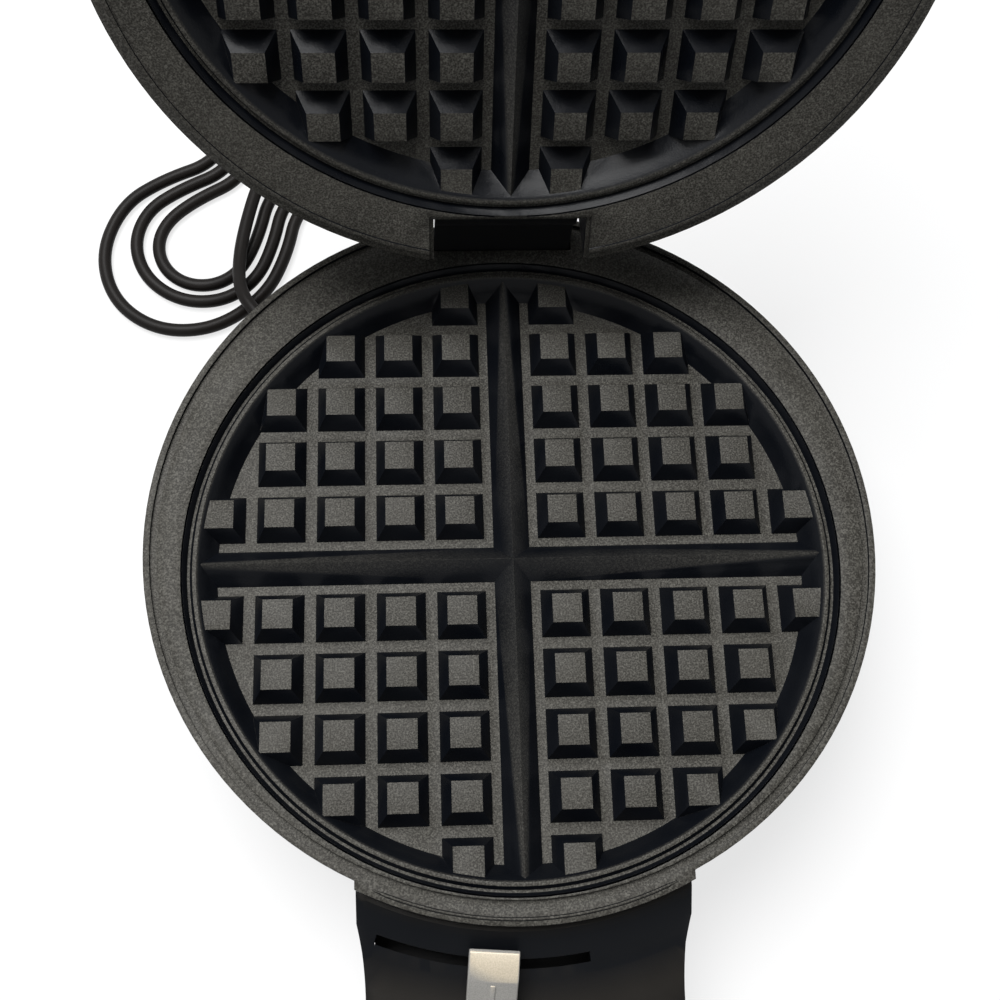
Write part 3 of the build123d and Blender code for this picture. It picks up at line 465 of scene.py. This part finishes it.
casing_black = moulded(
    "casing_moulding",
    dark=(0.014, 0.014, 0.015),
    light=(0.022, 0.022, 0.023),
    smooth=0.42,
    rough=0.55,
    grain=1700,
    depth=0.00004,
)
panel_black = moulded(
    "panel_moulding",
    dark=(0.0070, 0.0072, 0.0080),
    light=(0.0115, 0.0117, 0.0125),
    smooth=0.34,
    rough=0.46,
    grain=2300,
    depth=0.00002,
)
rubber_black = moulded(
    "rubber",
    dark=(0.012, 0.012, 0.012),
    light=(0.020, 0.020, 0.019),
    smooth=0.6,
    rough=0.75,
    grain=900,
    depth=0.00003,
)
plain_ivory = moulded(
    "terminal_moulding",
    dark=(0.62, 0.60, 0.54),
    light=(0.70, 0.68, 0.62),
    smooth=0.4,
    rough=0.5,
    grain=900,
    depth=0.00002,
)
cord_black = moulded(
    "cord_jacket",
    dark=(0.005, 0.0043, 0.004),
    light=(0.010, 0.0085, 0.0075),
    smooth=0.36,
    rough=0.48,
    grain=260,
    depth=0.00005,
    specular=0.09,
)
print("plastics ready")

# %% [markdown]
# The control panel is one moulding with two surfaces. The sloping face under the slider is coloured
# nearly black with a faint blue, which is painted shade and a painted bluish reflection. The grip in
# front of it faces up and is coloured a warm grey, which is painted light. The finish asks again how
# far the surface faces up.

# %% Panel with a painted shaded face and a painted lit grip
upwards = (0, 0, 1)
panel_face, tree, shader, coords = start_finish("panel_face_and_grip", metallic=0.0, roughness=0.4)
patch = noise(tree, coords, 30, detail=4)
painted_shade_face = between(tree, patch, (0.0024, 0.0030, 0.0042), (0.0042, 0.0048, 0.0060))
painted_lit_grip = between(tree, patch, (0.0100, 0.0090, 0.0078), (0.0150, 0.0136, 0.0120))
# Painted light: the colour goes from the painted shaded face to the painted lit grip as the surface
# faces up.
level = between(tree, facing(tree, upwards), 0.0, 1.0, start=0.88, end=0.97)
tree.links.new(layered(tree, painted_shade_face, painted_lit_grip, level), shader.inputs["Base Color"])
shader.inputs["Specular IOR Level"].default_value = 0.08
tree.links.new(between(tree, patch, 0.34, 0.46), shader.inputs["Roughness"])
bumped(tree, shader, noise(tree, coords, 2300, detail=3), 0.00002)
print("panel finish ready")

# %% [markdown]
# Metal shows how it was worked. A brushed skin has fine lines along one direction, ground pins have
# them round the pin, and rolled sheet has hardly any. Noise that is stretched along one axis gives
# such lines, and the same lines vary the roughness a little, which is what makes it look brushed.

# %% Metals


def worked_metal(name, dark, light, smooth, rough, stretch, scale, depth):
    """Metal whose colour, gloss and relief follow the same fine lines."""
    material, tree, shader, coords = start_finish(name, 1.0, rough, 0.5)
    lines = noise(tree, coords, scale, detail=3, stretch=stretch)
    tree.links.new(between(tree, lines, dark, light), shader.inputs["Base Color"])
    tree.links.new(between(tree, lines, smooth, rough), shader.inputs["Roughness"])
    bumped(tree, shader, lines, depth)
    return material


lines_along_x = (0.02, 1.0, 1.0)
lines_round_x = (1, 0.1, 0.1)
lines_along_z = (1, 1, 0.05)
no_lines = (1, 1, 1)
brushed_skin = worked_metal(
    "brushed_skin",
    dark=(0.50, 0.50, 0.50),
    light=(0.66, 0.66, 0.65),
    smooth=0.26,
    rough=0.40,
    stretch=lines_along_x,
    scale=2200,
    depth=0.00001,
)
ground_pin = worked_metal(
    "ground_steel",
    dark=(0.52, 0.52, 0.53),
    light=(0.66, 0.66, 0.66),
    smooth=0.22,
    rough=0.34,
    stretch=lines_round_x,
    scale=1600,
    depth=0.00001,
)
dull_steel = worked_metal(
    "dull_steel",
    dark=(0.30, 0.29, 0.27),
    light=(0.46, 0.44, 0.41),
    smooth=0.38,
    rough=0.55,
    stretch=no_lines,
    scale=240,
    depth=0.00003,
)
bright_sheet = worked_metal(
    "bright_sheet",
    dark=(0.72, 0.72, 0.73),
    light=(0.82, 0.82, 0.83),
    smooth=0.18,
    rough=0.30,
    stretch=lines_along_x,
    scale=700,
    depth=0.00001,
)
zinc_screw = worked_metal(
    "zinc_plate",
    dark=(0.52, 0.53, 0.55),
    light=(0.70, 0.70, 0.68),
    smooth=0.26,
    rough=0.40,
    stretch=no_lines,
    scale=500,
    depth=0.00002,
)
brass = worked_metal(
    "brass",
    dark=(0.60, 0.47, 0.22),
    light=(0.72, 0.58, 0.30),
    smooth=0.22,
    rough=0.36,
    stretch=lines_along_z,
    scale=1200,
    depth=0.00001,
)
print("metals ready")

# %% [markdown]
# Three small finishes are left: the unglazed ceramic of the thermostat, the clear red lens of the
# signal lamps, and the satin silver paint of the slider knob. The knob's colour carries painted light:
# it is bright and warm where it faces up, and a plain grey, painted shade, on the slope.

# %% Ceramic, lens and knob paint
ceramic = moulded(
    "ceramic",
    dark=(0.70, 0.67, 0.60),
    light=(0.80, 0.77, 0.70),
    smooth=0.6,
    rough=0.8,
    grain=700,
    depth=0.00004,
)

lens_red, tree, shader, coords = start_finish("red_lens", metallic=0.0, roughness=0.12)
cloud = noise(tree, coords, 500, detail=1)
tint = between(tree, cloud, (0.30, 0.02, 0.015), (0.42, 0.03, 0.02))
tree.links.new(tint, shader.inputs["Base Color"])
shader.inputs["Coat Weight"].default_value = 0.6
shader.inputs["Coat Roughness"].default_value = 0.05

knob_paint, tree, shader, coords = start_finish("silver_paint", 0.1, 0.38, specular=0.4)
sparkle = noise(tree, coords, 3500, detail=1)
# Painted light on the knob's top and painted shade on its slope, chosen by how far it faces up.
lit = between(tree, sparkle, (0.42, 0.365, 0.280), (0.52, 0.455, 0.350), start=0.35, end=0.65)
painted_shade_slope = between(tree, sparkle, (0.235, 0.228, 0.212), (0.30, 0.290, 0.270), start=0.35, end=0.65)
level = between(tree, facing(tree, upwards), 0.0, 1.0, start=0.80, end=0.92)
tree.links.new(layered(tree, painted_shade_slope, lit, level), shader.inputs["Base Color"])
bumped(tree, shader, sparkle, 0.00001)
print("small finishes ready")

# %% [markdown]
# Solid pieces come with mathematically sharp edges, and nothing cast or moulded has those. A copy of
# each piece that shows is merged into one skin, and a narrow Bevel rounds every edge sharper than 30
# degrees. A modifier does it better than an edge loop by hand, because one rule finds every edge.
# The rounding draws fine light lines along the edges. The copy then stands for the solid piece.

# %% Round the edges of a piece
merge_distance = 0.000002
sharpest_kept = math.radians(30)


def softened(node_name, finish, width):
    """A copy of a solid piece with its sharp edges rounded, riding where the piece rides."""
    source = nodes[node_name]
    work = bmesh.new()
    work.from_mesh(source.data)
    bmesh.ops.remove_doubles(work, verts=work.verts, dist=merge_distance)
    mesh = bpy.data.meshes.new(node_name + "_rounded")
    work.to_mesh(mesh)
    work.free()
    piece = bpy.data.objects.new(node_name + "_rounded", mesh)
    scene.collection.objects.link(piece)
    bevel = piece.modifiers.new("edges", "BEVEL")
    bevel.width = width
    bevel.segments = 2
    bevel.limit_method = "ANGLE"
    bevel.angle_limit = sharpest_kept
    bevel.harden_normals = True
    bevel.miter_outer = "MITER_ARC"
    for polygon in mesh.polygons:
        polygon.use_smooth = True
    graph = bpy.context.evaluated_depsgraph_get()
    made = bpy.data.meshes.new_from_object(piece.evaluated_get(graph))
    piece.modifiers.clear()
    piece.data = made
    made.materials.clear()
    made.materials.append(finish)
    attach(piece, source["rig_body"])
    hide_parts(node_name)
    made.calc_loop_triangles()
    print(node_name, "rounded:", len(made.loop_triangles), "triangles")
    return piece


softened("lower_grid_plate", lower_coating, 0.45 * mm)
softened("upper_grid_plate", upper_coating, 0.45 * mm)
softened("control_panel", panel_face, 0.5 * mm)
softened("lid_handle", panel_black, 0.6 * mm)
softened("slider_knob", knob_paint, 0.4 * mm)
softened("hinge_post", panel_black, 0.4 * mm)
softened("base_housing", casing_black, 0.5 * mm)
softened("lid_housing", casing_black, 0.5 * mm)
rounded_plug = softened("plug", cord_black, 0.5 * mm)

# %% [markdown]
# A thin bead runs along the tab over the control panel. It could be a swept solid, but it is under a
# millimetre high, so it is a round curve half sunk in the tab: a curve with a bevel is the shortest
# way to a bead with narrowed ends.

# %% Bead on the tab
bead_r = 94.6
bead_half_angle = 24.0
bead_radius = 0.5
rim_z = 52.5
bead_steps = 24
bead_tip = 0.3

curve = bpy.data.curves.new("tab_bead_line", "CURVE")
curve.dimensions = "3D"
curve.bevel_depth = bead_radius * mm
curve.bevel_resolution = 3
curve.use_fill_caps = True
arc = curve.splines.new("POLY")
arc.points.add(bead_steps)
for step, point in enumerate(arc.points):
    angle = math.radians(-90 - bead_half_angle + 2 * bead_half_angle * step / bead_steps)
    place = (bead_r * math.cos(angle), body_y + bead_r * math.sin(angle), rim_z)
    point.co = (place[0] * mm, place[1] * mm, place[2] * mm, 1.0)
    point.radius = bead_tip if step in (0, bead_steps) else 1.0


def as_mesh(name, source, body, finish):
    """A plain mesh of an evaluated object, which then rides on a body."""
    graph = bpy.context.evaluated_depsgraph_get()
    mesh = bpy.data.meshes.new_from_object(source.evaluated_get(graph))
    bpy.data.objects.remove(source)
    mesh.materials.clear()
    mesh.materials.append(finish)
    for polygon in mesh.polygons:
        polygon.use_smooth = True
    piece = bpy.data.objects.new(name, mesh)
    scene.collection.objects.link(piece)
    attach(piece, body)
    print(name, "made:", len(mesh.polygons), "faces")
    return piece


bead_source = bpy.data.objects.new("tab_bead_source", curve)
scene.collection.objects.link(bead_source)
as_mesh("tab_bead", bead_source, "base", lower_coating)

# %% [markdown]
# The knob carries a pointer rib on its slope, which shows the setting. It is a narrow block laid
# along the slope: a unit cube, stretched by three measured sides and moved to the middle of its
# place, with its edges rounded by a Bevel. It rides on the slider, so it turns with the knob.

# %% Pointer rib on the knob
knob_angle = math.radians(-94.6)
slope_top = (109.8, 46.3)
slope_foot = (119.0, 38.3)
pointer_width = 1.3
pointer_proud = 0.4
pointer_sunk = 0.3
pointer_from = 0.05
pointer_to = 0.95
pointer_edge = 0.2

outward = Vector((math.cos(knob_angle), math.sin(knob_angle), 0))
run = slope_foot[0] - slope_top[0]
drop = slope_top[1] - slope_foot[1]
slope = outward * run - Vector((0, 0, drop))
across = Vector((-outward.y, outward.x, 0))
normal = slope.cross(across).normalized()
start = Vector((0, body_y, slope_top[1])) + outward * slope_top[0]
middle = start + slope * (pointer_from + pointer_to) / 2
middle += normal * (pointer_proud - pointer_sunk) / 2
long_side = slope * (pointer_to - pointer_from)
wide_side = across * pointer_width
high_side = normal * (pointer_proud + pointer_sunk)
box = Matrix((long_side, wide_side, high_side)).transposed().to_4x4()

work = bmesh.new()
bmesh.ops.create_cube(work, size=1.0)
work.transform(Matrix.Scale(mm, 4) @ Matrix.Translation(middle) @ box)
pointer_mesh = bpy.data.meshes.new("pointer_source")
work.to_mesh(pointer_mesh)
work.free()
pointer_source = bpy.data.objects.new("pointer_source", pointer_mesh)
scene.collection.objects.link(pointer_source)
edges = pointer_source.modifiers.new("edges", "BEVEL")
edges.width = pointer_edge * mm
edges.segments = 3
as_mesh("knob_pointer", pointer_source, "slider", knob_paint)

# %% [markdown]
# The sleeve that guards the cord has moulded ribs, each a little smaller than the last. They repeat
# along a line, so a small Geometry Nodes tree makes them: a line of points, one ring on each point,
# and a scale that falls with the point's index. Its sizes are inputs, and the ends of the tree make
# the rings real and give them their rubber.

# %% Ribs of the strain relief
rib_count = 6
rib_pitch = 2.1
rib_first = 4.6
rib_ring = 4.0
rib_taper = 0.038
rib_thick = 0.45
ring_sides = 40
rib_sides = 10


def rib_tree():
    """The tree, and the identifier of each input under its name."""
    group = bpy.data.node_groups.new("sleeve_ribs", "GeometryNodeTree")
    face = group.interface
    face.new_socket("Geometry", in_out="INPUT", socket_type="NodeSocketGeometry")
    ids = {}
    for name, kind in (
        ("Ribs", "NodeSocketInt"),
        ("Pitch", "NodeSocketFloat"),
        ("Ring radius", "NodeSocketFloat"),
        ("Rib radius", "NodeSocketFloat"),
        ("Taper", "NodeSocketFloat"),
        ("Finish", "NodeSocketMaterial"),
    ):
        ids[name] = face.new_socket(name, in_out="INPUT", socket_type=kind).identifier
    face.new_socket("Geometry", in_out="OUTPUT", socket_type="NodeSocketGeometry")
    add = group.nodes.new
    link = group.links.new
    given = add("NodeGroupInput")
    step = add("ShaderNodeCombineXYZ")
    link(given.outputs["Pitch"], step.inputs["Z"])
    row = add("GeometryNodeMeshLine")
    link(given.outputs["Ribs"], row.inputs["Count"])
    link(step.outputs[0], row.inputs["Offset"])
    ring = add("GeometryNodeCurvePrimitiveCircle")
    ring.inputs["Resolution"].default_value = ring_sides
    link(given.outputs["Ring radius"], ring.inputs["Radius"])
    thick = add("GeometryNodeCurvePrimitiveCircle")
    thick.inputs["Resolution"].default_value = rib_sides
    link(given.outputs["Rib radius"], thick.inputs["Radius"])
    rib = add("GeometryNodeCurveToMesh")
    link(ring.outputs["Curve"], rib.inputs["Curve"])
    link(thick.outputs["Curve"], rib.inputs["Profile Curve"])
    index = add("GeometryNodeInputIndex")
    fall = add("ShaderNodeMath")
    fall.operation = "MULTIPLY"
    link(index.outputs[0], fall.inputs[0])
    link(given.outputs["Taper"], fall.inputs[1])
    size = add("ShaderNodeMath")
    size.operation = "SUBTRACT"
    size.inputs[0].default_value = 1.0
    link(fall.outputs[0], size.inputs[1])
    spread = add("GeometryNodeInstanceOnPoints")
    link(row.outputs["Mesh"], spread.inputs["Points"])
    link(rib.outputs["Mesh"], spread.inputs["Instance"])
    link(size.outputs[0], spread.inputs["Scale"])
    real = add("GeometryNodeRealizeInstances")
    link(spread.outputs["Instances"], real.inputs["Geometry"])
    finish = add("GeometryNodeSetMaterial")
    link(real.outputs["Geometry"], finish.inputs["Geometry"])
    link(given.outputs["Finish"], finish.inputs["Material"])
    out = add("NodeGroupOutput")
    link(finish.outputs["Geometry"], out.inputs["Geometry"])
    return group, ids


group, ids = rib_tree()
rib_source = bpy.data.objects.new("rib_source", bpy.data.meshes.new("rib_source"))
scene.collection.objects.link(rib_source)
made_by = rib_source.modifiers.new("ribs", "NODES")
made_by.node_group = group
made_by[ids["Ribs"]] = rib_count
made_by[ids["Pitch"]] = rib_pitch * mm
made_by[ids["Ring radius"]] = rib_ring * mm
made_by[ids["Rib radius"]] = rib_thick * mm
made_by[ids["Taper"]] = rib_taper
made_by[ids["Finish"]] = rubber_black
ribs = as_mesh("strain_relief_ribs", rib_source, "base", rubber_black)
rib_start = tip - cord_dir * (relief_length - rib_first)
aim = cord_dir.to_track_quat("Z", "Y").to_matrix().to_4x4()
ribs.data.transform(Matrix.Translation(rib_start * mm) @ aim)

# %% [markdown]
# The other pieces keep their solid shape and only take a finish. A dictionary from the finish to the
# pieces that have it reads like a parts list.

# %% Finishes of the other pieces
finishes = [
    (casing_black, ["base_cover"]),
    (panel_black, ["panel_floor"]),
    (rubber_black, ["rubber_feet", "strain_relief"]),
    (dull_steel, ["lower_heating_element", "upper_heating_element", "slider_arm", "thermostat_bracket"]),
    (bright_sheet, ["lower_reflector", "upper_reflector"]),
    (zinc_screw, ["base_screws", "lid_screws"]),
    (ground_pin, ["hinge_pin", "hinge_bushes"]),
    (brushed_skin, ["lid_skin"]),
    (ceramic, ["thermostat"]),
    (lens_red, ["signal_lamps"]),
    (plain_ivory, ["terminal_block"]),
    (brass, ["plug_blades"]),
]
for finish, names in finishes:
    for name in names:
        nodes[name].material_slots[0].material = finish
    print(finish.name, "on", ", ".join(names))

# %% [markdown]
# The cord takes its jacket last, once its finish exists, and rides on the base.

cord.data.materials.append(cord_black)
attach(cord, "base")
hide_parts("cord_lead", "cord_loops")
